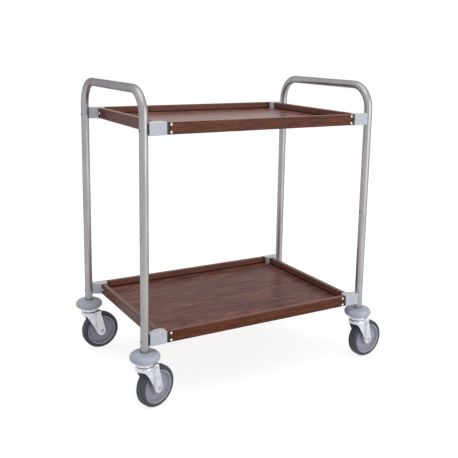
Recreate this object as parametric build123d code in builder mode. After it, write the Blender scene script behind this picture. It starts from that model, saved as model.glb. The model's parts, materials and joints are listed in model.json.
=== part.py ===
"""Two-tier serving cart: two steel hoops, two wooden trays on moulded corner brackets, four swivel casters.

Millimetres, +Z up. The origin is on the floor, midway between the four posts; +X runs along the cart's
length to the right and +Y runs from its front to its back.
"""

import os
from math import acos, atan2, cos, degrees, radians, sin, tan

from build123d import *

# Trays: wooden rims round a thin panel
tray_length = 694.0
tray_depth = 508.0
tray_spacing = 596.0
rim_height = 34.0
rim_thickness = 16.0
rim_edge_r = 2.5
panel_thickness = 8.0
panel_rebate = 2.0
panel_lift = 4.0
panel_groove_depth = 4.0
panel_edge_play = 0.4
panel_top_play = 0.2

# Hoops: one bent tube at each end of the cart, standing off the trays' ends
tube_d = 25.0
tube_wall = 1.5
tube_gap_x = 25.5
tube_set_back = 1.5
tube_below_tray = 39.0
hoop_bend_r = 75.0
hoop_rise = 120.5

# Corner brackets: a block that seats on the post, with a tongue into each of its two rims
bracket_arm_x = 26.0
bracket_arm_y = 33.0
bracket_corner_r = 14.0
bracket_heel_r = 8.0
bracket_end_r = 3.0
bracket_edge_r = 2.0
bracket_proud = 1.0
bracket_gusset_y = 4.0
saddle_depth = 1.5
saddle_play = 0.1
rim_gap = 4.0
tongue_length = 30.0
tongue_cover = 3.0
tongue_play = 0.3
tongue_end_play = 2.0

# Screws of the trays
rim_screw_d = 3.5
rim_screw_head_d = 8.0
rim_screw_head_h = 2.4
rim_screw_edge = 6.5
rim_screw_inset = 8.0
rim_screw_tip_play = 1.0
post_screw_d = 5.0
post_screw_head_d = 8.0
post_screw_head_h = 1.8
post_screw_up = 13.5
post_screw_bite = 22.0
screw_play = 0.15

# Spare holes half-way up the posts, for a middle shelf
shelf_hole_d = 5.5

# Wall bumpers, clamped between the tube ends and the casters
bumper_d = 88.0
bumper_belly_r = 12.0
bumper_shoulder_r = 13.0
bumper_crown_angle = 6.0
bumper_floor = 4.0
bumper_mouth = 1.2
bumper_tube_play = 0.3

# Tube plugs and the bolts that hold the casters
plug_flange_h = 3.0
plug_length = 44.0
plug_play = 0.3
king_bolt_d = 10.0
king_bolt_head_af = 16.0
king_bolt_head_h = 6.4
king_bolt_grip = 34.0
king_bolt_play = 0.3

# Casters
caster_trail = 38.0
caster_turns = {"front_left": 17.5, "front_right": 4.0, "back_left": 3.0, "back_right": 12.0}
wheel_d = 125.0
wheel_top_clear = 10.2
tyre_width = 32.0
tyre_depth = 13.0
tyre_shoulder_r = 9.0
core_lip_inset = 2.0
core_lip_r = 4.5
core_web_width = 16.0
core_rim_depth = 9.5
hub_d = 30.0
hub_collar_d = 46.0
tyre_fit = 0.1
hub_side_play = 0.5
hub_bore_play = 0.3

# Caster forks, pressed from one sheet
fork_side_clear = 3.0
fork_sheet = 2.5
fork_bend_r = 6.0
fork_nose_proud = 6.5
fork_crease_r = 5.0
fork_crown_back = 35.0
fork_skirt = 13.0
fork_leg_end_r = 15.0
fork_leg_lead = 3.0
fork_knee_back = 11.0
fork_knee_r = 12.0
fork_rib_h = 1.2
fork_rib_top_r = 4.5
fork_rib_margin = 3.0

# Caster heads and the rings they turn on
head_d = 52.0
head_skirt_wall = 3.5
head_floor_h = 9.0
head_bevel_w = 3.0
head_bevel_h = 4.0
head_skirt_clear = 1.2
king_pin_d = 16.0
king_flange_d = 24.0
king_flange_h = 2.7
ring_thickness = 3.0
ring_side_play = 0.5
swivel_play = 0.3

# Axles
axle_bolt_d = 8.0
axle_head_d = 13.0
axle_head_h = 3.0
axle_nut_af = 13.0
axle_nut_h = 6.5
axle_tail = 2.0
axle_play = 0.2
sleeve_d = 12.0

# Places worked out from the sizes above
tube_r = tube_d / 2
tray_x = tray_length / 2
tray_y = tray_depth / 2
post_x = tray_x + tube_gap_x + tube_r
post_y = tray_y - tube_set_back - tube_r
axle_z = wheel_d / 2
crown_top_z = wheel_d + wheel_top_clear + fork_sheet
caster_height = crown_top_z + swivel_play + ring_thickness + head_floor_h
plug_z = caster_height + bumper_floor
tube_foot_z = plug_z + plug_flange_h
lower_tray_z = tube_foot_z + tube_below_tray
upper_tray_z = lower_tray_z + tray_spacing
hoop_bar_z = upper_tray_z + hoop_rise
bracket_face_u = post_x - tray_x
bracket_post_w = tray_y - post_y
bracket_end_u = tube_r - saddle_depth
bracket_height = rim_height + 2 * bracket_proud
tongue_thickness = rim_thickness - 2 * panel_groove_depth
tongue_height = rim_height - 2 * tongue_cover
long_rim_length = tray_length - 2 * (bracket_arm_x + rim_gap)
short_rim_length = tray_depth - 2 * (bracket_arm_y + rim_gap)
mortise_depth = tongue_length + tongue_end_play
groove_height = panel_thickness - panel_rebate + panel_top_play
rim_screw_reach = rim_thickness - panel_groove_depth - rim_screw_tip_play
post_screw_reach = 2 * tube_r - saddle_depth + post_screw_bite
fork_gap = tyre_width + 2 * fork_side_clear
core_d = wheel_d - 2 * tyre_depth
core_lip_width = tyre_width - 2 * core_lip_inset
tray_levels = {"upper": upper_tray_z, "lower": lower_tray_z}
corners = {"front_left": (-1, -1), "front_right": (1, -1), "back_left": (-1, 1), "back_right": (1, 1)}

centre_bottom = (Align.CENTER, Align.CENTER, Align.MIN)
os.makedirs("parts", exist_ok=True)


def corner_points(side_x, side_y, *points):
    """Points given inwards from a post's axis along X and from the tray's long face along Y."""
    return [(side_x * (post_x - u), side_y * (tray_y - w)) for u, w in points]


def dome_screw(shank_d, shank_length, screw_head_d, screw_head_h):
    """A dome-headed screw seated on the XY plane, with its shank pointing down."""
    dome_r = ((screw_head_d / 2) ** 2 + screw_head_h**2) / (2 * screw_head_h)
    half_way = atan2(screw_head_d / 2, dome_r - screw_head_h) / 2
    dome_side = (dome_r * sin(half_way), screw_head_h - dome_r + dome_r * cos(half_way))
    with BuildPart() as screw:
        with BuildSketch(Plane.XZ):
            with BuildLine():
                Polyline(
                    (0, screw_head_h),
                    (0, -shank_length),
                    (shank_d / 2, -shank_length),
                    (shank_d / 2, 0),
                    (screw_head_d / 2, 0),
                )
                ThreePointArc((screw_head_d / 2, 0), dome_side, (0, screw_head_h))
            make_face()
        revolve(axis=Axis.Z)
    return screw.part


def long_rim_screw_seats(side_x, side_y, tray_z):
    """The two places at one end of a long rim where a screw's head seats on its outside."""
    seat_x = side_x * (long_rim_length / 2 - rim_screw_inset)
    levels = (tray_z + rim_screw_edge, tray_z + rim_height - rim_screw_edge)
    return [Plane((seat_x, side_y * tray_y, z), z_dir=(0, side_y, 0)) for z in levels]


def short_rim_screw_seats(side_x, side_y, tray_z):
    """The one place at an end of a short rim, half-way up, where a screw's head seats on its outside."""
    seat_y = side_y * (short_rim_length / 2 - rim_screw_inset)
    return [Plane((side_x * tray_x, seat_y, tray_z + rim_height / 2), z_dir=(side_x, 0, 0))]


def rim_screw_seats(side_x, side_y, tray_z):
    """The seats of all the rim screws at one corner of a tray."""
    return long_rim_screw_seats(side_x, side_y, tray_z) + short_rim_screw_seats(side_x, side_y, tray_z)


def caster_frame(corner):
    """The caster's own axes on the floor: Z up the king bolt and X towards its trailing wheel."""
    side_x, side_y = corners[corner]
    turn = radians(caster_turns[corner])
    return Plane((side_x * post_x, side_y * post_y, 0), x_dir=(cos(turn), sin(turn), 0), z_dir=(0, 0, 1))


def across(frame, origin):
    """A plane square to the caster's travel: its X runs along the axle and its Y runs up."""
    return Plane(origin, x_dir=frame.y_dir, z_dir=frame.x_dir)


# Hoops, with the holes for the tray screws and for a middle shelf
post_screw_levels = [z - bracket_proud + post_screw_up for z in tray_levels.values()]
shelf_hole_z = sum(post_screw_levels) / len(post_screw_levels)
for side, side_x in {"left": -1, "right": 1}.items():
    with BuildPart() as hoop:
        with BuildLine(Plane((side_x * post_x, 0, 0), x_dir=(0, 1, 0), z_dir=(1, 0, 0))) as bend_line:
            FilletPolyline(
                (-post_y, tube_foot_z),
                (-post_y, hoop_bar_z),
                (post_y, hoop_bar_z),
                (post_y, tube_foot_z),
                radius=hoop_bend_r,
            )
        with BuildSketch(Plane((side_x * post_x, -post_y, tube_foot_z))):
            Circle(tube_r)
            Circle(tube_r - tube_wall, mode=Mode.SUBTRACT)
        sweep(path=bend_line.wires()[0])
        for side_y in (-1, 1):
            with Locations([(side_x * post_x, side_y * post_y, z) for z in post_screw_levels]):
                Cylinder(post_screw_d / 2 + screw_play, 2 * tube_d, rotation=(0, 90, 0), mode=Mode.SUBTRACT)
            with Locations((side_x * post_x, side_y * post_y, shelf_hole_z)):
                Cylinder(shelf_hole_d / 2, 2 * tube_d, rotation=(0, 90, 0), mode=Mode.SUBTRACT)
    hoop.part.label = f"{side}_hoop"
    export_step(hoop.part, f"parts/{side}_hoop.step")

# Long rims, at the front and back of each tray, grooved for the panel and mortised for the brackets
for level, tray_z in tray_levels.items():
    for side, side_y in {"front": -1, "back": 1}.items():
        with BuildPart() as rim:
            with Locations((0, side_y * (tray_y - rim_thickness / 2), tray_z)):
                Box(long_rim_length, rim_thickness, rim_height, align=centre_bottom)
            fillet(rim.edges().filter_by(Axis.X), rim_edge_r)
            groove_y = tray_y - rim_thickness + panel_groove_depth / 2
            with Locations((0, side_y * groove_y, tray_z + panel_lift)):
                Box(
                    long_rim_length,
                    panel_groove_depth,
                    groove_height,
                    align=centre_bottom,
                    mode=Mode.SUBTRACT,
                )
            mortise_x = long_rim_length / 2 - mortise_depth / 2
            mortise_y = side_y * (tray_y - rim_thickness / 2)
            with Locations([(x, mortise_y, tray_z + rim_height / 2) for x in (-mortise_x, mortise_x)]):
                Box(
                    mortise_depth,
                    tongue_thickness + 2 * tongue_play,
                    tongue_height + 2 * tongue_play,
                    mode=Mode.SUBTRACT,
                )
            for side_x in (-1, 1):
                with Locations(long_rim_screw_seats(side_x, side_y, tray_z)):
                    Cylinder(rim_screw_d / 2 + screw_play, rim_thickness, mode=Mode.SUBTRACT)
        rim.part.label = f"{level}_{side}_rim"
        export_step(rim.part, f"parts/{level}_{side}_rim.step")

# Short rims, at the two ends of each tray
for level, tray_z in tray_levels.items():
    for side, side_x in {"left": -1, "right": 1}.items():
        with BuildPart() as rim:
            with Locations((side_x * (tray_x - rim_thickness / 2), 0, tray_z)):
                Box(rim_thickness, short_rim_length, rim_height, align=centre_bottom)
            fillet(rim.edges().filter_by(Axis.Y), rim_edge_r)
            groove_x = tray_x - rim_thickness + panel_groove_depth / 2
            with Locations((side_x * groove_x, 0, tray_z + panel_lift)):
                Box(
                    panel_groove_depth,
                    short_rim_length,
                    groove_height,
                    align=centre_bottom,
                    mode=Mode.SUBTRACT,
                )
            mortise_y = short_rim_length / 2 - mortise_depth / 2
            mortise_x = side_x * (tray_x - rim_thickness / 2)
            with Locations([(mortise_x, y, tray_z + rim_height / 2) for y in (-mortise_y, mortise_y)]):
                Box(
                    tongue_thickness + 2 * tongue_play,
                    mortise_depth,
                    tongue_height + 2 * tongue_play,
                    mode=Mode.SUBTRACT,
                )
            for side_y in (-1, 1):
                with Locations(short_rim_screw_seats(side_x, side_y, tray_z)):
                    Cylinder(rim_screw_d / 2 + screw_play, rim_thickness, mode=Mode.SUBTRACT)
        rim.part.label = f"{level}_{side}_rim"
        export_step(rim.part, f"parts/{level}_{side}_rim.step")

# Bracket outline, from the post's axis and the tray's long face inwards
bracket_heel = (bracket_face_u, bracket_arm_y)
bracket_corner = (bracket_face_u + bracket_arm_x, bracket_arm_y)
bracket_outline = [
    (bracket_end_u, 0),
    (bracket_face_u + bracket_arm_x, 0),
    bracket_corner,
    bracket_heel,
    (bracket_end_u, bracket_post_w + bracket_gusset_y),
]

# Panels, rebated into the grooves of the rims and notched round the brackets
for level, tray_z in tray_levels.items():
    with BuildPart() as panel:
        with BuildSketch(Plane.XY.offset(tray_z + panel_lift)):
            edge = rim_thickness - panel_groove_depth + panel_edge_play
            Rectangle(tray_length - 2 * edge, tray_depth - 2 * edge)
            for side_x, side_y in corners.values():
                with BuildSketch(mode=Mode.SUBTRACT) as notch:
                    with BuildLine():
                        Polyline(*corner_points(side_x, side_y, *bracket_outline), close=True)
                    make_face()
                    tip = Vector(*corner_points(side_x, side_y, bracket_corner)[0])
                    fillet(notch.vertices().sort_by_distance(tip)[0], bracket_corner_r)
                    offset(amount=panel_edge_play)
        extrude(amount=panel_thickness)
        with BuildSketch(Plane.XY.offset(tray_z + panel_lift + panel_thickness)):
            field_edge = rim_thickness + panel_edge_play
            Rectangle(tray_length, tray_depth)
            Rectangle(tray_length - 2 * field_edge, tray_depth - 2 * field_edge, mode=Mode.SUBTRACT)
        extrude(amount=-panel_rebate, mode=Mode.SUBTRACT)
    panel.part.label = f"{level}_panel"
    export_step(panel.part, f"parts/{level}_panel.step")

# Corner brackets
for level, tray_z in tray_levels.items():
    for corner, (side_x, side_y) in corners.items():
        bracket_z = tray_z - bracket_proud
        with BuildPart() as bracket:
            with BuildSketch(Plane.XY.offset(bracket_z)) as block:
                with BuildLine():
                    Polyline(*corner_points(side_x, side_y, *bracket_outline), close=True)
                make_face()
                tip = Vector(*corner_points(side_x, side_y, bracket_corner)[0])
                heel = Vector(*corner_points(side_x, side_y, bracket_heel)[0])
                front_ends = corner_points(side_x, side_y, *bracket_outline[:2])
                fillet(block.vertices().sort_by_distance(tip)[0], bracket_corner_r)
                fillet(block.vertices().sort_by_distance(heel)[0], bracket_heel_r)
                end_corners = [block.vertices().sort_by_distance(Vector(*end))[0] for end in front_ends]
                fillet(end_corners, bracket_end_r)
            extrude(amount=bracket_height)
            fillet(bracket.edges().group_by(Axis.Z)[0] + bracket.edges().group_by(Axis.Z)[-1], bracket_edge_r)
            tongue_reach = rim_gap + tongue_length
            mid_z = tray_z + rim_height / 2
            rim_mid = rim_thickness / 2
            long_tongue_x = tray_x - bracket_arm_x - tongue_reach / 2
            with Locations((side_x * long_tongue_x, side_y * (tray_y - rim_mid), mid_z)):
                Box(tongue_reach + 2 * bracket_edge_r, tongue_thickness, tongue_height)
            short_tongue_y = tray_y - bracket_arm_y - tongue_reach / 2
            with Locations((side_x * (tray_x - rim_mid), side_y * short_tongue_y, mid_z)):
                Box(tongue_thickness, tongue_reach + 2 * bracket_edge_r, tongue_height)
            with Locations((side_x * post_x, side_y * post_y, bracket_z)):
                Cylinder(tube_r + saddle_play, bracket_height, align=centre_bottom, mode=Mode.SUBTRACT)
            with Locations(rim_screw_seats(side_x, side_y, tray_z)):
                Cylinder(rim_screw_d / 2 + screw_play, 2 * rim_screw_reach, mode=Mode.SUBTRACT)
            with Locations((side_x * post_x, side_y * post_y, bracket_z + post_screw_up)):
                bite_length = 2 * (post_screw_reach - tube_r + screw_play)
                Cylinder(post_screw_d / 2 + screw_play, bite_length, rotation=(0, 90, 0), mode=Mode.SUBTRACT)
        bracket.part.label = f"{level}_{corner}_bracket"
        export_step(bracket.part, f"parts/{level}_{corner}_bracket.step")

# Screws through the rims into the bracket tongues, and through the posts into the brackets
rim_screw = dome_screw(rim_screw_d, rim_screw_reach, rim_screw_head_d, rim_screw_head_h)
post_screw = dome_screw(post_screw_d, post_screw_reach, post_screw_head_d, post_screw_head_h)
for level, tray_z in tray_levels.items():
    with BuildPart() as rim_screws:
        for side_x, side_y in corners.values():
            with Locations(rim_screw_seats(side_x, side_y, tray_z)):
                add(rim_screw)
    rim_screws.part.label = f"{level}_rim_screws"
    export_step(rim_screws.part, f"parts/{level}_rim_screws.step")

    with BuildPart() as post_screws:
        for side_x, side_y in corners.values():
            screw_z = tray_z - bracket_proud + post_screw_up
            screw_seat = (side_x * (post_x + tube_r), side_y * post_y, screw_z)
            with Locations(Plane(screw_seat, z_dir=(side_x, 0, 0))):
                add(post_screw)
    post_screws.part.label = f"{level}_post_screws"
    export_step(post_screws.part, f"parts/{level}_post_screws.step")

# Wall bumpers: a fat disc with a rounded edge and a gently coned top, with a socket for the tube's end
bumper_foot_r = bumper_d / 2 - bumper_belly_r
for corner, (side_x, side_y) in corners.items():
    with BuildPart() as bumper:
        base = (side_x * post_x, side_y * post_y, caster_height)
        with BuildSketch(Plane(base, x_dir=(1, 0, 0), z_dir=(0, -1, 0))):
            with BuildLine():
                belly = JernArc((bumper_foot_r, 0), (1, 0), bumper_belly_r, 90)
                shoulder = JernArc(belly @ 1, (0, 1), bumper_shoulder_r, 90 - bumper_crown_angle)
                crown_rise = (shoulder @ 1).X * tan(radians(bumper_crown_angle))
                Polyline(shoulder @ 1, (0, (shoulder @ 1).Y + crown_rise), (0, 0), (bumper_foot_r, 0))
            make_face()
        revolve(axis=Axis(base, (0, 0, 1)))
        with Locations((side_x * post_x, side_y * post_y, plug_z)):
            Cylinder(tube_r + bumper_tube_play, bumper_d, align=centre_bottom, mode=Mode.SUBTRACT)
        with Locations(base):
            Cylinder(king_bolt_d / 2 + king_bolt_play, bumper_d, mode=Mode.SUBTRACT)
        chamfer(bumper.edges().filter_by(GeomType.CIRCLE).group_by(Axis.Z)[-1], bumper_mouth)
    bumper.part.label = f"{corner}_bumper"
    export_step(bumper.part, f"parts/{corner}_bumper.step")

# Plugs in the tube ends, threaded for the king bolts
post_axes = [(side_x * post_x, side_y * post_y) for side_x, side_y in corners.values()]
with BuildPart() as tube_plugs:
    with Locations([(x, y, plug_z) for x, y in post_axes]):
        Cylinder(tube_r, plug_flange_h, align=centre_bottom)
        Cylinder(tube_r - tube_wall - plug_play, plug_length, align=centre_bottom)
        Cylinder(king_bolt_d / 2 + screw_play, plug_length, align=centre_bottom, mode=Mode.SUBTRACT)
tube_plugs.part.label = "tube_plugs"
export_step(tube_plugs.part, "parts/tube_plugs.step")

# King bolts, up through the caster heads and bumpers into the plugs
king_flange_z = crown_top_z - fork_sheet - swivel_play - king_flange_h
with BuildPart() as king_bolts:
    with BuildSketch(Plane.XY.offset(king_flange_z - king_bolt_head_h)):
        with Locations(post_axes):
            RegularPolygon(king_bolt_head_af / 2, 6, major_radius=False)
    extrude(amount=king_bolt_head_h)
    with Locations([(x, y, king_flange_z) for x, y in post_axes]):
        Cylinder(king_bolt_d / 2, plug_z + king_bolt_grip - king_flange_z, align=centre_bottom)
king_bolts.part.label = "king_bolts"
export_step(king_bolts.part, "parts/king_bolts.step")

# Casters, each turned the way it trails
fork_half = fork_gap / 2 + fork_sheet
fork_nose_r = fork_half + fork_nose_proud
axle_seat = fork_half + fork_rib_h
fork_reach = caster_trail + wheel_d / 2
leg_end = Vector(caster_trail - fork_leg_lead, axle_z)
heel_point = Vector(fork_crown_back, crown_top_z - fork_skirt)
toe_point = Vector(-fork_nose_r, crown_top_z - fork_skirt)
knee_point = toe_point + Vector(fork_knee_back, 0)
to_heel = heel_point - leg_end
to_knee = knee_point - leg_end
leg_back_angle = degrees(atan2(to_heel.Y, to_heel.X) - acos(fork_leg_end_r / to_heel.length))
leg_front_angle = degrees(atan2(to_knee.Y, to_knee.X) + acos(fork_leg_end_r / to_knee.length))
leg_low_angle = (leg_back_angle + leg_front_angle - 360) / 2
leg_back, leg_low, leg_front = (
    leg_end + Vector(fork_leg_end_r, 0).rotate(Axis.Z, angle)
    for angle in (leg_back_angle, leg_low_angle, leg_front_angle)
)
rib_top = heel_point - Vector(fork_rib_top_r + fork_rib_margin, 0)

for corner in corners:
    frame = caster_frame(corner)
    king_axis = Axis(frame.origin, frame.z_dir)
    axle_centre = frame.from_local_coords(Vector(caster_trail, 0, axle_z))
    axle_axis = Axis(axle_centre, frame.y_dir)

    # Head: a turned cup with a hollow pin and a flange that holds the fork up
    with BuildPart() as head:
        with BuildSketch(across(frame, frame.origin)) as head_half:
            with BuildLine():
                Polyline(
                    (king_bolt_d / 2 + king_bolt_play, king_flange_z),
                    (king_flange_d / 2, king_flange_z),
                    (king_flange_d / 2, king_flange_z + king_flange_h),
                    (king_pin_d / 2, king_flange_z + king_flange_h),
                    (king_pin_d / 2, caster_height - head_floor_h),
                    (head_d / 2 - head_skirt_wall, caster_height - head_floor_h),
                    (head_d / 2 - head_skirt_wall, crown_top_z + head_skirt_clear),
                    (head_d / 2, crown_top_z + head_skirt_clear),
                    (head_d / 2, caster_height - head_bevel_h),
                    (head_d / 2 - head_bevel_w, caster_height),
                    (king_bolt_d / 2 + king_bolt_play, caster_height),
                    close=True,
                )
            make_face()
        revolve(axis=king_axis)
    head.part.label = f"{corner}_caster_head"
    export_step(head.part, f"parts/{corner}_caster_head.step")

    # Ring of slippery plastic that the fork turns under
    with BuildPart() as ring:
        with Locations(frame.origin + Vector(0, 0, crown_top_z + swivel_play)):
            ring_r = head_d / 2 - head_skirt_wall - ring_side_play
            Cylinder(ring_r, ring_thickness, align=centre_bottom)
            Cylinder(king_pin_d / 2 + ring_side_play, ring_thickness, align=centre_bottom, mode=Mode.SUBTRACT)
    ring.part.label = f"{corner}_swivel_ring"
    export_step(ring.part, f"parts/{corner}_swivel_ring.step")

    # Fork: a drawn sheet with a round nose that creases into flat legs, trimmed to the legs' outline
    with BuildPart() as fork:
        with BuildSketch(frame) as plan:
            Circle(fork_nose_r)
            Rectangle(fork_reach, 2 * fork_half, align=(Align.MIN, Align.CENTER))
            fillet(plan.vertices().group_by(Axis.X)[0], fork_crease_r)
        extrude(amount=crown_top_z)
        fillet(fork.faces().sort_by(Axis.Z)[-1].edges(), fork_bend_r)
        offset(amount=-fork_sheet, openings=fork.faces().sort_by(Axis.Z)[0])
        with BuildSketch(Plane(frame.origin, x_dir=frame.x_dir, z_dir=-frame.y_dir)):
            with BuildLine():
                ThreePointArc(leg_back, leg_low, leg_front)
                FilletPolyline(leg_front, knee_point, toe_point, radius=fork_knee_r)
                Polyline(
                    toe_point,
                    (-fork_nose_r, crown_top_z),
                    (fork_crown_back, crown_top_z),
                    heel_point,
                    leg_back,
                )
            make_face()
        extrude(amount=fork_gap, both=True, mode=Mode.INTERSECT)
        for side in (-1, 1):
            leg_face = frame.origin - frame.y_dir * side * fork_half
            with BuildSketch(Plane(leg_face, x_dir=frame.x_dir, z_dir=-frame.y_dir)):
                with Locations(leg_end):
                    Circle(fork_leg_end_r - fork_rib_margin)
                with Locations(rib_top):
                    Circle(fork_rib_top_r)
                make_hull()
            extrude(amount=side * fork_rib_h)
        with Locations(frame.origin + Vector(0, 0, crown_top_z)):
            Cylinder(king_pin_d / 2 + swivel_play, 3 * fork_sheet, mode=Mode.SUBTRACT)
        with Locations(Plane(axle_centre, x_dir=frame.x_dir, z_dir=frame.y_dir)):
            Cylinder(axle_bolt_d / 2 + axle_play, 2 * fork_gap, mode=Mode.SUBTRACT)
    fork.part.label = f"{corner}_fork"
    export_step(fork.part, f"parts/{corner}_fork.step")

    # Axle bolt with a low round head on one leg and its nut on the other
    with BuildPart() as axle_bolt:
        with Locations(Plane(axle_centre - frame.y_dir * axle_seat, x_dir=frame.x_dir, z_dir=-frame.y_dir)):
            add(dome_screw(axle_bolt_d, 2 * axle_seat + axle_nut_h + axle_tail, axle_head_d, axle_head_h))
        with BuildSketch(Plane(axle_centre + frame.y_dir * axle_seat, x_dir=frame.x_dir, z_dir=frame.y_dir)):
            RegularPolygon(axle_nut_af / 2, 6, major_radius=False)
        extrude(amount=axle_nut_h)
    axle_bolt.part.label = f"{corner}_axle_bolt"
    export_step(axle_bolt.part, f"parts/{corner}_axle_bolt.step")

    # Sleeve that keeps the fork's legs apart
    with BuildPart() as sleeve:
        with BuildSketch(Plane(axle_centre, x_dir=frame.x_dir, z_dir=frame.y_dir)):
            Circle(sleeve_d / 2)
            Circle(axle_bolt_d / 2 + axle_play, mode=Mode.SUBTRACT)
        extrude(amount=fork_gap / 2, both=True)
    sleeve.part.label = f"{corner}_axle_sleeve"
    export_step(sleeve.part, f"parts/{corner}_axle_sleeve.step")

    # Wheel core: a dished disc with a long hub
    with BuildPart() as core:
        with BuildSketch(across(frame, axle_centre)):
            with BuildLine():
                bore_r = sleeve_d / 2 + hub_bore_play
                hub_end = fork_gap / 2 - hub_side_play
                Polyline(
                    (0, bore_r),
                    (hub_end, bore_r),
                    (hub_end, hub_d / 2),
                    (core_web_width / 2, hub_collar_d / 2),
                    (core_web_width / 2, core_d / 2 - core_rim_depth),
                    (core_lip_width / 2, core_d / 2 - core_lip_r),
                    (core_lip_width / 2, core_d / 2),
                    (0, core_d / 2),
                    close=True,
                )
            make_face()
            mirror(about=Plane.YZ)
        revolve(axis=axle_axis)
    core.part.label = f"{corner}_wheel_core"
    export_step(core.part, f"parts/{corner}_wheel_core.step")

    # Tyre with rounded shoulders
    with BuildPart() as tyre:
        with BuildSketch(across(frame, axle_centre)) as section:
            with Locations((0, core_d / 2 + tyre_fit)):
                Rectangle(tyre_width, tyre_depth - tyre_fit, align=(Align.CENTER, Align.MIN))
            fillet(section.vertices().group_by(Axis.Y)[-1], tyre_shoulder_r)
        revolve(axis=axle_axis)
    tyre.part.label = f"{corner}_tyre"
    export_step(tyre.part, f"parts/{corner}_tyre.step")
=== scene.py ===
"""Two-tier serving cart in steel tube and stained wood, on swivel casters, in a white studio."""

import json
from math import atan2, pi, radians

import bmesh
import bpy
from mathutils import Matrix, Vector


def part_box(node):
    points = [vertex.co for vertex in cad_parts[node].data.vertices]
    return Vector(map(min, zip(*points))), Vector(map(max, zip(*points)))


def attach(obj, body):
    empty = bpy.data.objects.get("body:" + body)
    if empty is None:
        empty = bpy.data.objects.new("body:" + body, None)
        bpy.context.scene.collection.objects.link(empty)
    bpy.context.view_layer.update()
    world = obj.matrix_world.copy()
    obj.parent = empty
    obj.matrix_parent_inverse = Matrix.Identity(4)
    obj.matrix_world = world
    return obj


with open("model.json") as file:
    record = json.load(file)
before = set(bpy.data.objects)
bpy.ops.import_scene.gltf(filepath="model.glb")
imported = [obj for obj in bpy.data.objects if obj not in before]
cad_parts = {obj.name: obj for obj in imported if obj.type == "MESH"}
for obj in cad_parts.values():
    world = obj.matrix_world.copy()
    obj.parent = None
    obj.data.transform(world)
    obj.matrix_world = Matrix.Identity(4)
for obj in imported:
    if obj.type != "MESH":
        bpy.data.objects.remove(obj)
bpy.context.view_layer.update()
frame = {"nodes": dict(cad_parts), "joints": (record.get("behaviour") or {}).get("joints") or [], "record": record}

# Hoops: one stainless tube bent into each end of the cart, posts and push bar in one.
# The tube is drawn, then satin ground along its length, so its fine lines run down the posts
# and along the bar above the bends. The open shelf holes, with a thin ring round each, are painted shade.
nodes = frame["nodes"]
bend_start_z = 0.838
bend_end_z = 0.905
hole_shade_margin = 0.0007


def start_finish(name, roughness, metallic=0.0):
    """A new material, with its node tree, its shader and the object's own coordinates in metres."""
    material = bpy.data.materials.new(name)
    material.use_nodes = True
    tree = material.node_tree
    shader = tree.nodes["Principled BSDF"]
    shader.inputs["Roughness"].default_value = roughness
    shader.inputs["Metallic"].default_value = metallic
    place = tree.nodes.new("ShaderNodeTexCoord").outputs["Object"]
    return material, tree, shader, place


def srgb(red, green, blue):
    """A colour read off a screen, as the linear values that a shader takes."""
    shares = [channel / 255 for channel in (red, green, blue)]
    return [s / 12.92 if s <= 0.04045 else ((s + 0.055) / 1.055) ** 2.4 for s in shares] + [1.0]


def stretched_noise(tree, place, per_metre, detail, distortion=0.0, roughness=0.55):
    """Noise with its own number of waves to the metre along X, Y and Z."""
    mapping = tree.nodes.new("ShaderNodeMapping")
    mapping.inputs["Scale"].default_value = per_metre
    tree.links.new(place, mapping.inputs["Vector"])
    noise = tree.nodes.new("ShaderNodeTexNoise")
    noise.inputs["Scale"].default_value = 1.0
    noise.inputs["Detail"].default_value = detail
    noise.inputs["Distortion"].default_value = distortion
    noise.inputs["Roughness"].default_value = roughness
    tree.links.new(mapping.outputs["Vector"], noise.inputs["Vector"])
    return noise.outputs["Fac"]


def graded(tree, value, *stops):
    """A colour ramp through (position, colour) stops."""
    ramp = tree.nodes.new("ShaderNodeValToRGB")
    elements = ramp.color_ramp.elements
    while len(elements) < len(stops):
        elements.new(0.5)
    for element, (position, colour) in zip(elements, stops):
        element.position = position
        element.color = colour
    tree.links.new(value, ramp.inputs["Fac"])
    return ramp.outputs["Color"]


def spread(tree, value, low, high, from_low=0.3, from_high=0.7):
    """A value drawn out between two levels, smoothly and without going past them."""
    rule = tree.nodes.new("ShaderNodeMapRange")
    rule.interpolation_type = "SMOOTHSTEP"
    limits = {"From Min": from_low, "From Max": from_high, "To Min": low, "To Max": high}
    for socket, level in limits.items():
        rule.inputs[socket].default_value = level
    tree.links.new(value, rule.inputs["Value"])
    return rule.outputs["Result"]


def mixed(tree, share, first, second):
    """Two colours, or two values as greys, mixed by a share that varies over the surface."""
    mix = tree.nodes.new("ShaderNodeMix")
    mix.data_type = "RGBA"
    for socket, source in zip((mix.inputs["Factor"], mix.inputs[6], mix.inputs[7]), (share, first, second)):
        if isinstance(source, bpy.types.NodeSocket):
            tree.links.new(source, socket)
        else:
            socket.default_value = source
    return mix.outputs[2]


def raised(tree, shader, height, depth, strength):
    """Relief of a real depth in metres, from a height between 0 and 1."""
    bump = tree.nodes.new("ShaderNodeBump")
    bump.inputs["Strength"].default_value = strength
    bump.inputs["Distance"].default_value = depth
    tree.links.new(height, bump.inputs["Height"])
    tree.links.new(bump.outputs["Normal"], shader.inputs["Normal"])


def axis_of(tree, place, axis):
    """One coordinate of a place."""
    parts = tree.nodes.new("ShaderNodeSeparateXYZ")
    tree.links.new(place, parts.inputs["Vector"])
    return parts.outputs[axis]


def from_crosswise_line(tree, place, point):
    """How far a place lies from the line along X through a point, or from the line's mirrored twin."""
    for operation, operand in (("ABSOLUTE", (0, 0, 0)), ("MULTIPLY", (0, 1, 1)), ("DISTANCE", point)):
        step = tree.nodes.new("ShaderNodeVectorMath")
        step.operation = operation
        step.inputs[1].default_value = operand
        tree.links.new(place, step.inputs[0])
        place = step.outputs[0]
    return step.outputs["Value"]


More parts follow.
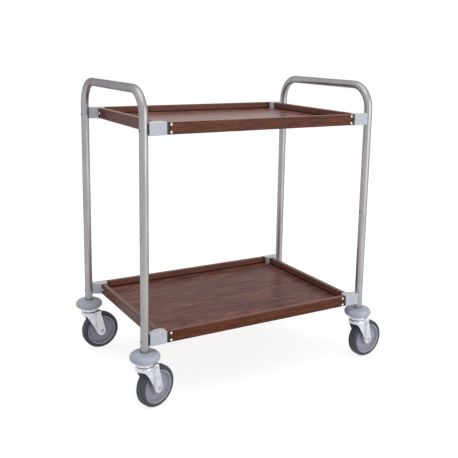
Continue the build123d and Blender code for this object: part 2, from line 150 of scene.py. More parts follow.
def satin_tube_steel():
    """Stainless steel ground to a satin, with fine lines down the posts and along the bar."""
    material, tree, shader, place = start_finish("satin_tube_steel", 0.36, metallic=1.0)
    shader.inputs["Specular Tint"].default_value = srgb(168, 166, 170)
    post_lines = stretched_noise(tree, place, (620, 620, 9), detail=3)
    bar_lines = stretched_noise(tree, place, (620, 9, 620), detail=3)
    on_bar = spread(tree, axis_of(tree, place, "Z"), 0.0, 1.0, bend_start_z, bend_end_z)
    lines = mixed(tree, on_bar, post_lines, bar_lines)
    clouds = stretched_noise(tree, place, (30, 30, 9), detail=2)
    tone = mixed(tree, 0.35, lines, clouds)
    satin = graded(tree, tone, (0.3, srgb(146, 143, 145)), (0.7, srgb(176, 173, 175)))
    shelf_holes = next(m for m in frame["record"]["mounts"] if m["name"] == "right_shelf_holes")
    hole_r = shelf_holes["dims"]["hole_r_mm"] / 1000
    hole_y = shelf_holes["dims"]["spacing_x_mm"] / 2000
    from_hole = from_crosswise_line(tree, place, (0, hole_y, shelf_holes["pos_m"][2]))
    # Painted shade: each shelf hole and a thin ring round it are painted near black.
    stain_and_shade = spread(tree, from_hole, 1.0, 0.0, hole_r + hole_shade_margin / 2, hole_r + hole_shade_margin)
    painted_hole_shade = srgb(24, 22, 22)
    tree.links.new(mixed(tree, stain_and_shade, satin, painted_hole_shade), shader.inputs["Base Color"])
    tree.links.new(spread(tree, lines, 0.33, 0.43), shader.inputs["Roughness"])
    raised(tree, shader, lines, 0.00001, 0.15)
    return material


def dress(node, material):
    """Gives a CAD node its finish."""
    nodes[node].data.materials.clear()
    nodes[node].data.materials.append(material)


tube_steel = satin_tube_steel()
for side in ("left", "right"):
    dress(f"{side}_hoop", tube_steel)

# Tray rims: planed boards of stained hardwood, eased along their edges and satin lacquered.
# The grain runs along each board. Tops and inner faces carry a paler painted sheen, the foot of each
# inner face a line of painted shade where the panel enters its groove, and each end is darker.
levels = ("upper", "lower")
end_darkening = 0.012
foot_shade_height = 0.006
face_margin = 0.001


def off_middle(tree, place, axis):
    """The distance from the cart's middle along one axis."""
    distance = tree.nodes.new("ShaderNodeMath")
    distance.operation = "ABSOLUTE"
    tree.links.new(axis_of(tree, place, axis), distance.inputs[0])
    return distance.outputs["Value"]


def facing_up(tree):
    """1 on faces that look upwards, fading to 0 on those that lean."""
    faced = tree.nodes.new("ShaderNodeNewGeometry")
    return spread(tree, axis_of(tree, faced.outputs["Normal"], "Z"), 0.0, 1.0, 0.5, 0.9)


def stained_rim_wood(level, side, along, across):
    """Wood for the rim on one side of a tray and for the one opposite it."""
    material, tree, shader, place = start_finish(f"stained_{level}_rim_wood_along_{along}", 0.4)
    shader.inputs["Specular IOR Level"].default_value = 0.16
    bands_per_metre = [9 if axis == along else 95 for axis in "XYZ"]
    pores_per_metre = [34 if axis == along else 620 for axis in "XYZ"]
    bands = stretched_noise(tree, place, bands_per_metre, detail=6, distortion=0.6, roughness=0.66)
    pores = stretched_noise(tree, place, pores_per_metre, detail=3)
    stain_and_shade = graded(
        tree,
        bands,
        (0.32, srgb(66, 31, 17)),
        (0.48, srgb(90, 44, 25)),
        (0.68, srgb(117, 64, 37)),
    )
    pore_share = spread(tree, pores, 0.6, 0.0, 0.36, 0.52)
    wood = mixed(tree, pore_share, stain_and_shade, srgb(48, 20, 11))
    # Painted sheen: a paler colour for the tops and inner faces, keeping the grain bands.
    wear_and_sheen = graded(tree, bands, (0.32, srgb(104, 67, 57)), (0.68, srgb(133, 88, 74)))
    rim_low, rim_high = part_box(f"{level}_{side}_rim")
    inner_face = rim_low["XYZ".index(across)] + face_margin
    half_length = rim_high["XYZ".index(along)]
    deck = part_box(f"{level}_panel")[1].z
    inward = spread(tree, off_middle(tree, place, across), 1.0, 0.0, inner_face, inner_face + face_margin)
    # Painted shade: a dark line along the foot of each inner face, over the panel's groove.
    at_foot = spread(tree, axis_of(tree, place, "Z"), 0.85, 0.0, deck + foot_shade_height / 2, deck + foot_shade_height)
    # The last 12 mm at each end of the board is darker.
    near_end = spread(tree, off_middle(tree, place, along), 0.0, 0.75, half_length - end_darkening, half_length)
    dark_ends_and_foot_shade = srgb(38, 19, 14)
    inside = mixed(tree, at_foot, wear_and_sheen, dark_ends_and_foot_shade)
    topped = mixed(tree, facing_up(tree), wood, wear_and_sheen)
    sided = mixed(tree, inward, topped, inside)
    colour = mixed(tree, near_end, sided, dark_ends_and_foot_shade)
    tree.links.new(colour, shader.inputs["Base Color"])
    tree.links.new(spread(tree, bands, 0.3, 0.42), shader.inputs["Roughness"])
    raised(tree, shader, pores, 0.00012, 0.35)
    return material


for level in levels:
    long_wood = stained_rim_wood(level, "back", "X", "Y")
    short_wood = stained_rim_wood(level, "right", "Y", "X")
    for side in ("front", "back"):
        dress(f"{level}_{side}_rim", long_wood)
    for side in ("left", "right"):
        dress(f"{level}_{side}_rim", short_wood)

# Tray panels: veneered boards let into grooves in the rims, with the grain along the cart.
# The veneer is a shade greyer than the rims, with smoky flecks. Its top is lacquered, with a dark
# line of dust and painted shade along the grooves; its underside is only sealed, and dry and matt.
groove_dust_and_shade = 0.004
sealed_margin = 0.001


def smoky_panel_veneer(level):
    """Veneer for one tray's panel, lacquered on top and dry underneath."""
    material, tree, shader, place = start_finish(f"smoky_{level}_panel_veneer", 0.3)
    shader.inputs["Specular IOR Level"].default_value = 0.035
    figure = stretched_noise(tree, place, (6, 36, 36), detail=7, distortion=0.7, roughness=0.64)
    flecks = stretched_noise(tree, place, (15, 62, 62), detail=5, distortion=0.5, roughness=0.62)
    pores = stretched_noise(tree, place, (55, 480, 480), detail=3)
    ground = graded(
        tree,
        figure,
        (0.34, srgb(108, 68, 62)),
        (0.5, srgb(136, 88, 77)),
        (0.66, srgb(164, 111, 94)),
    )
    smoke = spread(tree, flecks, 0.8, 0.0, 0.36, 0.56)
    smoked = mixed(tree, smoke, ground, srgb(97, 65, 69))
    pore_share = spread(tree, pores, 0.5, 0.0, 0.38, 0.52)
    veneer = mixed(tree, pore_share, smoked, srgb(70, 44, 42))
    inner_faces = {"X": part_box(f"{level}_right_rim")[0].x, "Y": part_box(f"{level}_back_rim")[0].y}
    for axis, inner_face in inner_faces.items():
        # Dust and painted shade: the veneer darkens to near black-brown along each groove.
        edge = spread(tree, off_middle(tree, place, axis), 0.0, 0.85, inner_face - groove_dust_and_shade, inner_face)
        veneer = mixed(tree, edge, veneer, srgb(40, 23, 22))
    low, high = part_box(f"{level}_panel")
    middle_z = (low.z + high.z) / 2
    height = axis_of(tree, place, "Z")
    underside = spread(tree, height, 1.0, 0.0, middle_z - sealed_margin, middle_z + sealed_margin)
    dry = mixed(tree, 0.35, veneer, srgb(112, 76, 64))
    tree.links.new(mixed(tree, underside, veneer, dry), shader.inputs["Base Color"])
    lacquer = spread(tree, figure, 0.2, 0.29)
    dry_roughness = (0.9, 0.9, 0.9, 1)
    tree.links.new(mixed(tree, underside, lacquer, dry_roughness), shader.inputs["Roughness"])
    raised(tree, shader, pores, 0.00006, 0.25)
    return material


for level in levels:
    dress(f"{level}_panel", smoky_panel_veneer(level))

# Rim gap shade: a dark frame on each end of each rim, round the bracket's tongue. It fills the gap
# between wood and bracket with painted shade and shows as a thin dark line.
gap_shade_thickness = 0.0036
gap_shade_recess = 0.0004
gap_shade_wall = 0.0029
gap_shade_edge = 0.0004


def dark_moulding(name, roughness):
    """Dark plastic or rubber with the fine grain of its mould."""
    material, tree, shader, place = start_finish(name, roughness)
    grain = stretched_noise(tree, place, (700, 700, 700), detail=5)
    colour = graded(tree, grain, (0.3, srgb(34, 28, 28)), (0.7, srgb(52, 44, 44)))
    tree.links.new(colour, shader.inputs["Base Color"])
    raised(tree, shader, grain, 0.00006, 0.5)
    return material


def pick_faces(piece, wanted):
    """Selects the faces that pass a test, and no others, on a piece in edit mode."""
    bpy.ops.mesh.select_mode(type="FACE")
    bpy.ops.mesh.select_all(action="DESELECT")
    cage = bmesh.from_edit_mesh(piece.data)
    for face in cage.faces:
        if wanted(face):
            face.select_set(True)
    bmesh.update_edit_mesh(piece.data)


def block_between(low, high):
    """A block from one corner to the other, left active, with its place in its mesh."""
    bpy.ops.object.select_all(action="DESELECT")
    bpy.ops.mesh.primitive_cube_add(size=1, location=(Vector(low) + Vector(high)) / 2)
    block = bpy.context.object
    block.scale = Vector(high) - Vector(low)
    bpy.ops.object.transform_apply(location=True, rotation=True, scale=True)
    return block


def ease_edges(piece, width):
    """Rounds every sharp edge of a piece in two steps."""
    smooth_below = radians(40)
    bevel = piece.modifiers.new("eased", "BEVEL")
    bevel.width = width
    bevel.segments = 2
    bevel.limit_method = "ANGLE"
    bpy.ops.object.modifier_apply(modifier=bevel.name)
    bpy.ops.object.shade_smooth_by_angle(angle=smooth_below)


def copy_to(pattern, name, place):
    """A copy of a piece, with its own mesh, set where a matrix puts it."""
    bpy.ops.object.select_all(action="DESELECT")
    pattern.select_set(True)
    bpy.context.view_layer.objects.active = pattern
    bpy.ops.object.duplicate(linked=False)
    piece = bpy.context.object
    piece.name = name
    piece.matrix_world = place
    bpy.ops.object.transform_apply(location=True, rotation=True, scale=True)
    return piece


def fit_piece(piece, body):
    """Gives a new piece the body that carries it."""
    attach(piece, body)


rim_low, rim_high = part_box("upper_left_rim")
half_thickness = (rim_high.x - rim_low.x) / 2 - gap_shade_recess
half_height = (rim_high.z - rim_low.z) / 2 - gap_shade_recess
gap_shade_near = gap_shade_recess / 2
gap_shade_pattern = block_between(
    (gap_shade_near, -half_thickness, -half_height),
    (gap_shade_near + gap_shade_thickness, half_thickness, half_height),
)
bpy.ops.object.mode_set(mode="EDIT")
pick_faces(gap_shade_pattern, lambda face: abs(face.normal.x) > 0.9)
bpy.ops.mesh.inset(thickness=gap_shade_wall, use_individual=True)
bpy.ops.mesh.bridge_edge_loops()
bpy.ops.object.mode_set(mode="OBJECT")
ease_edges(gap_shade_pattern, gap_shade_edge)
# Painted shade: the frames are dark plastic, filling the gap at each rim end.
gap_shade_pattern.data.materials.append(dark_moulding("dark_gap_shade_plastic", 0.5))
rim_runs = {
    "front": Vector((1, 0, 0)),
    "back": Vector((1, 0, 0)),
    "left": Vector((0, 1, 0)),
    "right": Vector((0, 1, 0)),
}
for level in levels:
    for side, along in rim_runs.items():
        rim_low, rim_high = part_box(f"{level}_{side}_rim")
        middle = (rim_low + rim_high) / 2
        half_length = (rim_high - rim_low).dot(along) / 2
        for end, outwards in {"low": -along, "high": along}.items():
            facing = Matrix.Rotation(atan2(outwards.y, outwards.x), 4, "Z")
            rim_end = Matrix.Translation(middle + outwards * half_length)
            gap_shade = copy_to(gap_shade_pattern, f"{level}_{side}_rim_spacer_{end}", rim_end @ facing)
            fit_piece(gap_shade, "cart")
bpy.data.objects.remove(gap_shade_pattern)

# Corner brackets: moulded in a cool grey plastic with a fine matt grain, one at each corner of
# each tray, seated on the post and holding two rims on tongues. Their tops carry painted light.
corners = ("front_left", "front_right", "back_left", "back_right")


def grey_bracket_plastic():
    """Cool grey plastic with a fine grain, with painted light on the faces that look up."""
    material, tree, shader, place = start_finish("grey_bracket_plastic", 0.48)
    grain = stretched_noise(tree, place, (1800, 1800, 1800), detail=3)
    clouds = stretched_noise(tree, place, (45, 45, 45), detail=3)
    tone = mixed(tree, 0.4, clouds, grain)
    moulded = graded(tree, tone, (0.3, srgb(175, 179, 190)), (0.7, srgb(195, 199, 209)))
    painted_top_light = graded(tree, tone, (0.3, srgb(202, 197, 201)), (0.7, srgb(220, 215, 218)))
    # Painted light: the faces that look up are paler.
    tree.links.new(mixed(tree, facing_up(tree), moulded, painted_top_light), shader.inputs["Base Color"])
    tree.links.new(spread(tree, clouds, 0.42, 0.55), shader.inputs["Roughness"])
    raised(tree, shader, grain, 0.00005, 0.4)
    return material


bracket_plastic = grey_bracket_plastic()
for level in levels:
    for corner in corners:
        dress(f"{level}_{corner}_bracket", bracket_plastic)

# Post shade slivers: a sliver of dark rubber in the wedge between each tube and its bracket's end,
# as painted shade for the gap there.
shade_sliver_height_play = 0.0025
shade_sliver_front = 0.0028
shade_sliver_root_u = 0.01095
shade_sliver_root_w = 0.0079
shade_sliver_tip_u = 0.0096
shade_sliver_tip_w = 0.0058
shade_sliver_edge = 0.0002
bracket_low, bracket_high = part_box("upper_front_left_bracket")
hoop_low, hoop_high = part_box("left_hoop")
post_x = abs(hoop_low.x + hoop_high.x) / 2
face_y = abs(bracket_low.y)
pad_half_height = (bracket_high.z - bracket_low.z) / 2 - shade_sliver_height_play
shade_sliver_pattern = block_between(
    (shade_sliver_tip_u - post_x, shade_sliver_front - face_y, -pad_half_height),
    (shade_sliver_root_u - post_x, shade_sliver_root_w - face_y, pad_half_height),
)
bpy.ops.object.mode_set(mode="EDIT")
bpy.ops.mesh.select_mode(type="VERT")
bpy.ops.mesh.select_all(action="DESELECT")
cage = bmesh.from_edit_mesh(shade_sliver_pattern.data)
for point in cage.verts:
    at_tip = point.co.x < (shade_sliver_tip_u + shade_sliver_root_u) / 2 - post_x
    at_back = point.co.y > (shade_sliver_front + shade_sliver_root_w) / 2 - face_y
    point.select_set(at_tip and at_back)
bmesh.update_edit_mesh(shade_sliver_pattern.data)
bpy.ops.transform.translate(value=(0, shade_sliver_tip_w - shade_sliver_root_w, 0))
bpy.ops.object.mode_set(mode="OBJECT")
ease_edges(shade_sliver_pattern, shade_sliver_edge)
# Painted shade: the slivers are dark, standing in for the shade in the wedge.
shade_sliver_pattern.data.materials.append(dark_moulding("dark_shade_sliver_rubber", 0.75))
turned_over = {
    "front_left": Matrix.Identity(4),
    "front_right": Matrix.Rotation(pi, 4, "Y"),
    "back_left": Matrix.Rotation(pi, 4, "X"),
    "back_right": Matrix.Rotation(pi, 4, "Z"),
}
for level in levels:
    for corner, turn in turned_over.items():
        bracket_low, bracket_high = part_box(f"{level}_{corner}_bracket")
        height = Matrix.Translation((0, 0, (bracket_low.z + bracket_high.z) / 2))
        shade_sliver = copy_to(shade_sliver_pattern, f"{level}_{corner}_post_shade_sliver", height @ turn)
        fit_piece(shade_sliver, "cart")
bpy.data.objects.remove(shade_sliver_pattern)

# Tray screws: bright dome heads, cross recessed, through the rims into the bracket tongues, two
# at each end of a long rim and one, half-way up, at each end of a short rim. Duller ones go
# through the posts into the brackets.
screw_rows = {"front": (-1, 1), "back": (-1, 1), "left": (0,), "right": (0,)}
screw_inset = 0.008
screw_edge = 0.0065
rim_head_h = 0.0024
recess_arm = 0.0009
recess_reach = 0.0010
recess_depth = 0.0005
recess_proud = 0.00012
uneven_driving = 0.37


def bright_screw_steel(name, dull, bright):
    """Polished steel between two tones, with smears left by handling."""
    material, tree, shader, place = start_finish(name, 0.18, metallic=1.0)
    smears = stretched_noise(tree, place, (260, 260, 260), detail=4)
    tree.links.new(graded(tree, smears, (0.3, dull), (0.7, bright)), shader.inputs["Base Color"])
    tree.links.new(spread(tree, smears, 0.14, 0.3), shader.inputs["Roughness"])
    return material


rim_screw_steel = bright_screw_steel("bright_rim_screw_steel", srgb(214, 208, 206), srgb(244, 240, 238))
post_screw_steel = bright_screw_steel("dull_post_screw_steel", srgb(92, 88, 88), srgb(124, 120, 120))
for level in levels:
    dress(f"{level}_rim_screws", rim_screw_steel)
    dress(f"{level}_post_screws", post_screw_steel)

# Painted shade: each cross recess is a dark cross set just proud of its screw head.
bpy.ops.object.select_all(action="DESELECT")
bpy.ops.mesh.primitive_cube_add(size=recess_arm)
cross_pattern = bpy.context.object
bpy.ops.object.mode_set(mode="EDIT")
pick_faces(cross_pattern, lambda face: abs(face.normal.z) < 0.1)
bpy.ops.mesh.extrude_faces_move(TRANSFORM_OT_shrink_fatten={"value": recess_reach})
bpy.ops.mesh.select_all(action="SELECT")
bpy.ops.transform.resize(value=(1, 1, recess_depth / recess_arm))
bpy.ops.object.mode_set(mode="OBJECT")
cross_pattern.data.materials.append(dark_moulding("dark_screw_recess_shade", 0.6))
driven_turn = 0.0
for level in levels:
    crosses = []
    for side, along in rim_runs.items():
        rim_low, rim_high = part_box(f"{level}_{side}_rim")
        middle = (rim_low + rim_high) / 2
        half_length = (rim_high - rim_low).dot(along) / 2
        half_height = (rim_high.z - rim_low.z) / 2
        outwards = Vector((middle.x, middle.y, 0)).normalized()
        half_thickness = abs((rim_high - rim_low).dot(outwards)) / 2
        facing = outwards.to_track_quat("Z", "Y").to_matrix().to_4x4()
        for end in (-1, 1):
            for row in screw_rows[side]:
                seat = middle + along * end * (half_length - screw_inset)
                seat += outwards * (half_thickness + rim_head_h - recess_depth / 2 + recess_proud)
                seat.z += row * (half_height - screw_edge)
                driven_turn += uneven_driving
                place = Matrix.Translation(seat) @ facing @ Matrix.Rotation(driven_turn, 4, "Z")
                crosses.append(copy_to(cross_pattern, f"{level}_{side}_cross", place))
    bpy.ops.object.select_all(action="DESELECT")
    for cross in crosses:
        cross.select_set(True)
    bpy.context.view_layer.objects.active = crosses[0]
    bpy.ops.object.join()
    recess_shades = bpy.context.object
    recess_shades.name = f"{level}_rim_screw_recess_shades"
    fit_piece(recess_shades, "cart")
bpy.data.objects.remove(cross_pattern)

# Wall bumpers: fat rings of soft grey rubber on the foot of each post, faintly mottled, and
# rubbed a little darker where they meet walls and door frames.
belly_height = 0.012
rub_half_height = 0.007


def product(tree, first, second):
    """Two values that vary over the surface, multiplied."""
    multiply = tree.nodes.new("ShaderNodeMath")
    multiply.operation = "MULTIPLY"
    tree.links.new(first, multiply.inputs[0])
    tree.links.new(second, multiply.inputs[1])
    return multiply.outputs["Value"]


def grey_bumper_rubber():
    """Soft mottled rubber, scuffed in patches round its belly."""
    material, tree, shader, place = start_finish("grey_bumper_rubber", 0.6)
    belly_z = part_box("front_left_bumper")[0].z + belly_height
    speckle = stretched_noise(tree, place, (900, 900, 900), detail=3)
    clouds = stretched_noise(tree, place, (38, 38, 60), detail=5)
    tone = mixed(tree, 0.35, clouds, speckle)
    rubber = graded(tree, tone, (0.3, srgb(160, 165, 180)), (0.7, srgb(187, 193, 208)))
    height = axis_of(tree, place, "Z")
    above = spread(tree, height, 0.0, 1.0, belly_z - rub_half_height, belly_z)
    below = spread(tree, height, 1.0, 0.0, belly_z, belly_z + rub_half_height)
    scuffs = stretched_noise(tree, place, (120, 120, 500), detail=4)
    patchy = spread(tree, scuffs, 0.0, 0.4, 0.45, 0.7)
    rubbed = product(tree, product(tree, above, below), patchy)
    colour = mixed(tree, rubbed, rubber, srgb(112, 115, 126))
    tree.links.new(colour, shader.inputs["Base Color"])
    tree.links.new(spread(tree, clouds, 0.52, 0.68), shader.inputs["Roughness"])
    raised(tree, shader, speckle, 0.00008, 0.4)
    return material


bumper_rubber = grey_bumper_rubber()
for corner in corners:
    dress(f"{corner}_bumper", bumper_rubber)

# Tube mouth shade: a dark rubber bead round each post where it drops into its bumper, as painted
# shade for the gap between the tube and the bumper's socket.
mouth_shade_ring_r = 0.01335
mouth_shade_half_width = 0.00075
mouth_shade_half_height = 0.0009
mouth_shade_sink = 0.0012


def spun_bead(ring_r, half_width, half_height):
    """A bead of oval section, spun once round the Z axis."""
    section_points = 12
    spin_steps = 96
    same_point = 1e-6
    bpy.ops.object.select_all(action="DESELECT")
    bpy.ops.mesh.primitive_circle_add(
        vertices=section_points,
        radius=1,
        location=(ring_r, 0, 0),
        rotation=(pi / 2, 0, 0),
    )
    bead = bpy.context.object
    bead.scale = (half_width, half_height, 1)
    bpy.ops.object.transform_apply(location=True, rotation=True, scale=True)
    bpy.ops.object.mode_set(mode="EDIT")
    bpy.ops.mesh.select_all(action="SELECT")
    bpy.ops.mesh.spin(steps=spin_steps, angle=2 * pi, center=(0, 0, 0), axis=(0, 0, 1))
    bpy.ops.mesh.select_all(action="SELECT")
    bpy.ops.mesh.remove_doubles(threshold=same_point)
    bpy.ops.mesh.normals_make_consistent(inside=False)
    bpy.ops.object.mode_set(mode="OBJECT")
    bpy.ops.object.shade_smooth()
    return bead


mouth_shade_pattern = spun_bead(mouth_shade_ring_r, mouth_shade_half_width, mouth_shade_half_height)
# Painted shade: the bead is dark rubber at the bumper's mouth.
mouth_shade_pattern.data.materials.append(dark_moulding("dark_mouth_shade_rubber", 0.7))
for corner in corners:
    bumper_low, bumper_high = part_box(f"{corner}_bumper")
    mouth = (bumper_low + bumper_high) / 2
    mouth.z = bumper_high.z - mouth_shade_sink
    mouth_shade = copy_to(mouth_shade_pattern, f"{corner}_tube_mouth_shade", Matrix.Translation(mouth))
    fit_piece(mouth_shade, "cart")
bpy.data.objects.remove(mouth_shade_pattern)

# Tube plugs and king bolts: black moulded plugs driven into the tube ends, and the zinc-plated
# bolts that run up into them through the bumpers and hold the casters on.


def plated_zinc():
    """Bright zinc plate with a faint spangle."""
    material, tree, shader, place = start_finish("plated_zinc", 0.34, metallic=0.85)
    spangles_per_metre = 130.0
    spangle = tree.nodes.new("ShaderNodeTexVoronoi")
    spangle.inputs["Scale"].default_value = spangles_per_metre
    tree.links.new(place, spangle.inputs["Vector"])
    smears = stretched_noise(tree, place, (90, 90, 40), detail=4)
    tone = mixed(tree, 0.25, smears, spangle.outputs["Color"])
    colour = graded(tree, tone, (0.25, srgb(190, 192, 199)), (0.75, srgb(226, 228, 234)))
    tree.links.new(colour, shader.inputs["Base Color"])
    tree.links.new(spread(tree, smears, 0.27, 0.42), shader.inputs["Roughness"])
    raised(tree, shader, smears, 0.00006, 0.3)
    return material


zinc = plated_zinc()
plug_plastic = dark_moulding("black_plug_plastic", 0.45)
dress("tube_plugs", plug_plastic)
dress("king_bolts", zinc)

# Casters: zinc-plated pressed forks that turn on a slippery ring under turned heads, and carry
# grey plastic wheels on steel axles. Each caster has its own axes, so the rings moulded into a
# wheel and the scuffs of its tyre follow that wheel.
joints = {joint["name"]: joint for joint in frame["joints"]}
moulding_rings = 60.0
shaded_from_r = 0.036
shaded_to_r = 0.044
tread_from_r = 0.0595
tread_to_r = 0.0622


def wheel_place(tree, place, corner):
    """The wheel's own coordinates: the axle along Y, with the origin at its centre."""
    roll = joints[f"{corner}_roll"]
    mapping = tree.nodes.new("ShaderNodeMapping")
    mapping.vector_type = "TEXTURE"
    mapping.inputs["Location"].default_value = roll["pos_m"]
    mapping.inputs["Rotation"].default_value = (0, 0, atan2(-roll["axis"][0], roll["axis"][1]))
    tree.links.new(place, mapping.inputs["Vector"])
    return mapping.outputs["Vector"]


def from_axle(tree, wheel):
    """How far a place on the wheel is from the axle's line."""
    flat = tree.nodes.new("ShaderNodeVectorMath")
    flat.operation = "MULTIPLY"
    flat.inputs[1].default_value = (1, 0, 1)
    tree.links.new(wheel, flat.inputs[0])
    length = tree.nodes.new("ShaderNodeVectorMath")
    length.operation = "LENGTH"
    tree.links.new(flat.outputs["Vector"], length.inputs[0])
    return length.outputs["Value"]


def grey_wheel_plastic(corner):
    """Moulded plastic with faint rings round the axle, darker towards the tyre."""
    material, tree, shader, place = start_finish(f"grey_wheel_plastic_{corner}", 0.45)
    wheel = wheel_place(tree, place, corner)
    radius = from_axle(tree, wheel)
    rings = tree.nodes.new("ShaderNodeTexWave")
    rings.wave_type = "RINGS"
    rings.rings_direction = "Y"
    rings.inputs["Scale"].default_value = moulding_rings
    rings.inputs["Distortion"].default_value = 0.6
    tree.links.new(wheel, rings.inputs["Vector"])
    clouds = stretched_noise(tree, place, (60, 60, 60), detail=4)
    plastic = graded(tree, clouds, (0.3, srgb(136, 136, 150)), (0.7, srgb(158, 158, 174)))
    edge = spread(tree, radius, 0.0, 0.35, shaded_from_r, shaded_to_r)
    colour = mixed(tree, edge, plastic, srgb(118, 116, 128))
    tree.links.new(colour, shader.inputs["Base Color"])
    tree.links.new(spread(tree, clouds, 0.4, 0.52), shader.inputs["Roughness"])
    raised(tree, shader, rings.outputs["Fac"], 0.00012, 0.35)
    return material


def dark_tyre_rubber(corner):
    """Dark rubber, scuffed grey on the tread."""
    material, tree, shader, place = start_finish(f"dark_tyre_rubber_{corner}", 0.66)
    shader.inputs["Specular IOR Level"].default_value = 0.3
    wheel = wheel_place(tree, place, corner)
    radius = from_axle(tree, wheel)
    grain = stretched_noise(tree, wheel, (600, 600, 600), detail=4)
    scuff = stretched_noise(tree, wheel, (90, 300, 90), detail=5)
    rubber = graded(tree, grain, (0.3, srgb(61, 63, 74)), (0.7, srgb(80, 82, 95)))
    tread = spread(tree, radius, 0.0, 1.0, tread_from_r, tread_to_r)
    wear_and_sheen = product(tree, tread, spread(tree, scuff, 0.05, 0.45, 0.35, 0.7))
    colour = mixed(tree, wear_and_sheen, rubber, srgb(104, 105, 114))
    tree.links.new(colour, shader.inputs["Base Color"])
    tree.links.new(spread(tree, scuff, 0.58, 0.76), shader.inputs["Roughness"])
    raised(tree, shader, grain, 0.0001, 0.4)
    return material


axle_steel = bright_screw_steel("dull_axle_steel", srgb(140, 140, 146), srgb(176, 176, 182))
for corner in corners:
    dress(f"{corner}_caster_head", zinc)
    dress(f"{corner}_swivel_ring", plug_plastic)
    dress(f"{corner}_fork", zinc)
    dress(f"{corner}_axle_bolt", axle_steel)
    dress(f"{corner}_axle_sleeve", zinc)
    dress(f"{corner}_wheel_core", grey_wheel_plastic(corner))
    dress(f"{corner}_tyre", dark_tyre_rubber(corner))

# Wheel lips: a light bead where the core meets the tyre on both sides of each wheel. The bead's
# shape is the lip, and its pale colour is partly a painted highlight.
lip_ring_r = 0.0489
lip_half_width = 0.0011
lip_half_height = 0.0013
lip_offset = 0.0142


def pale_lip_highlight_plastic():
    """The wheel's plastic, pale and smooth; the paleness is partly a painted highlight."""
    material, tree, shader, place = start_finish("pale_lip_highlight_plastic", 0.3)
    clouds = stretched_noise(tree, place, (200, 200, 200), detail=3)
    colour = graded(tree, clouds, (0.3, srgb(186, 184, 196)), (0.7, srgb(206, 204, 214)))
    tree.links.new(colour, shader.inputs["Base Color"])
    tree.links.new(spread(tree, clouds, 0.24, 0.38), shader.inputs["Roughness"])
    return material


lip_pattern = spun_bead(lip_ring_r, lip_half_width, lip_half_height)
# Partly painted highlight: the lip beads are pale.
lip_pattern.data.materials.append(pale_lip_highlight_plastic())
for corner in corners:
    roll = joints[f"{corner}_roll"]
    axle = Vector(roll["axis"])
    facing = axle.to_track_quat("Z", "Y").to_matrix().to_4x4()
    for side, outwards in {"front": -1, "back": 1}.items():
        centre = Vector(roll["pos_m"]) + axle * outwards * lip_offset
        lip = copy_to(lip_pattern, f"{corner}_{side}_wheel_lip", Matrix.Translation(centre) @ facing)
        fit_piece(lip, f"{corner}_wheel_body")
bpy.data.objects.remove(lip_pattern)

# Studio: a white floor that keeps a soft shadow, white all round, and two large soft lights,
# one overhead and one to the right of the camera.
floor_size = 30.0
floor_drop = 0.0005
floor_bounce = 0.8
floor_shade = 0.40
floor_glow = 0.80
world_light = 0.6
world_shown = 1.0
cart_middle = (0, 0, 0.45)
lamp_size = 2.6
overhead_place = (-0.3, -0.5, 3.2)
overhead_power = 26
right_place = (1.2, -3.0, 1.0)
right_power = 42


def grey(level):
    """A plain grey, from black at 0 to white at 1."""
    return (level, level, level, 1)


def seen_directly(tree):
    """1 where a ray comes straight from the camera, a mirror or a clear body."""
    path = tree.nodes.new("ShaderNodeLightPath")
    either = path.outputs["Is Camera Ray"]
    for kind in ("Is Glossy Ray", "Is Transmission Ray"):
        widest = tree.nodes.new("ShaderNodeMath")
        widest.operation = "MAXIMUM"
        tree.links.new(either, widest.inputs[0])
        tree.links.new(path.outputs[kind], widest.inputs[1])
        either = widest.outputs["Value"]
    return either


bpy.ops.object.select_all(action="DESELECT")
bpy.ops.mesh.primitive_plane_add(size=floor_size, location=(0, 0, -floor_drop))
floor = bpy.context.object
floor.name = "studio_floor"
bpy.ops.object.transform_apply(location=True, rotation=True, scale=True)
floor_white = bpy.data.materials.new("studio_floor_white")
floor_white.use_nodes = True
tree = floor_white.node_tree
tree.nodes.clear()
shown = tree.nodes.new("ShaderNodeAddShader")
plain = tree.nodes.new("ShaderNodeBsdfDiffuse")
plain.inputs["Color"].default_value = grey(floor_bounce)
shadow = tree.nodes.new("ShaderNodeBsdfDiffuse")
shadow.inputs["Color"].default_value = grey(floor_shade)
glow = tree.nodes.new("ShaderNodeEmission")
glow.inputs["Color"].default_value = grey(1)
glow.inputs["Strength"].default_value = floor_glow
tree.links.new(shadow.outputs["BSDF"], shown.inputs[0])
tree.links.new(glow.outputs["Emission"], shown.inputs[1])
choose = tree.nodes.new("ShaderNodeMixShader")
tree.links.new(seen_directly(tree), choose.inputs["Fac"])
tree.links.new(plain.outputs["BSDF"], choose.inputs[1])
tree.links.new(shown.outputs["Shader"], choose.inputs[2])
surface = tree.nodes.new("ShaderNodeOutputMaterial")
tree.links.new(choose.outputs["Shader"], surface.inputs["Surface"])
floor.data.materials.append(floor_white)

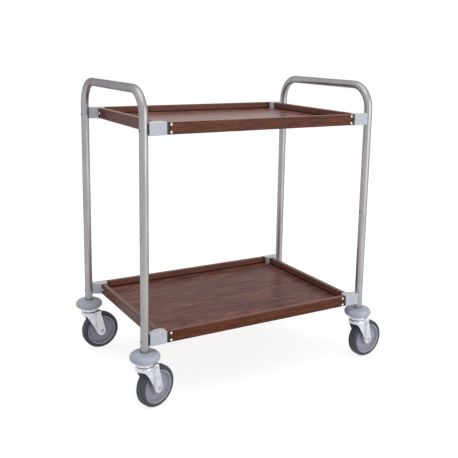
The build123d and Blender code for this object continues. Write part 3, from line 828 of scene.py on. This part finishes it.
world = bpy.data.worlds.new("studio_white")
bpy.context.scene.world = world
world.use_nodes = True
tree = world.node_tree
tree.nodes.clear()
lit = tree.nodes.new("ShaderNodeBackground")
lit.inputs["Strength"].default_value = world_light
lit.inputs["Color"].default_value = grey(1)
white = tree.nodes.new("ShaderNodeBackground")
white.inputs["Strength"].default_value = world_shown
white.inputs["Color"].default_value = grey(1)
choose = tree.nodes.new("ShaderNodeMixShader")
tree.links.new(seen_directly(tree), choose.inputs["Fac"])
tree.links.new(lit.outputs["Background"], choose.inputs[1])
tree.links.new(white.outputs["Background"], choose.inputs[2])
surface = tree.nodes.new("ShaderNodeOutputWorld")
tree.links.new(choose.outputs["Shader"], surface.inputs["Surface"])


def soft_light(name, place, power):
    """A large square light turned towards the middle of the cart."""
    lamp = bpy.data.lights.new(name, "AREA")
    lamp.shape = "SQUARE"
    lamp.size = lamp_size
    lamp.energy = power
    light = bpy.data.objects.new(name, lamp)
    light.location = place
    light.rotation_euler = (Vector(cart_middle) - Vector(place)).to_track_quat("-Z", "Y").to_euler()
    bpy.context.scene.collection.objects.link(light)


soft_light("overhead_light", overhead_place, overhead_power)
soft_light("right_light", right_place, right_power)

# Camera: set back to the left and a little above the push bars, looking down on the cart.
# The lens is shifted down a little, which keeps the posts closer to upright.
camera_place = (-1.1333, -2.0046, 1.0360)
camera_yaw = 0.5212
camera_pitch = 0.1916
camera_roll = 0.0169
picture_width = 458
focal_pixels = 718.8
lens_shift = -0.1004
sensor_width = 36.0
camera_data = bpy.data.cameras.new("photo_camera")
camera_data.sensor_fit = "HORIZONTAL"
camera_data.sensor_width = sensor_width
camera_data.lens = focal_pixels / picture_width * sensor_width
camera_data.shift_y = lens_shift
camera = bpy.data.objects.new("photo_camera", camera_data)
turn = Matrix.Rotation(-camera_yaw, 4, "Z") @ Matrix.Rotation(pi / 2 - camera_pitch, 4, "X")
camera.matrix_world = Matrix.Translation(camera_place) @ turn @ Matrix.Rotation(camera_roll, 4, "Z")
bpy.context.scene.collection.objects.link(camera)
bpy.context.scene.camera = camera
bpy.context.scene.view_settings.view_transform = "Standard"
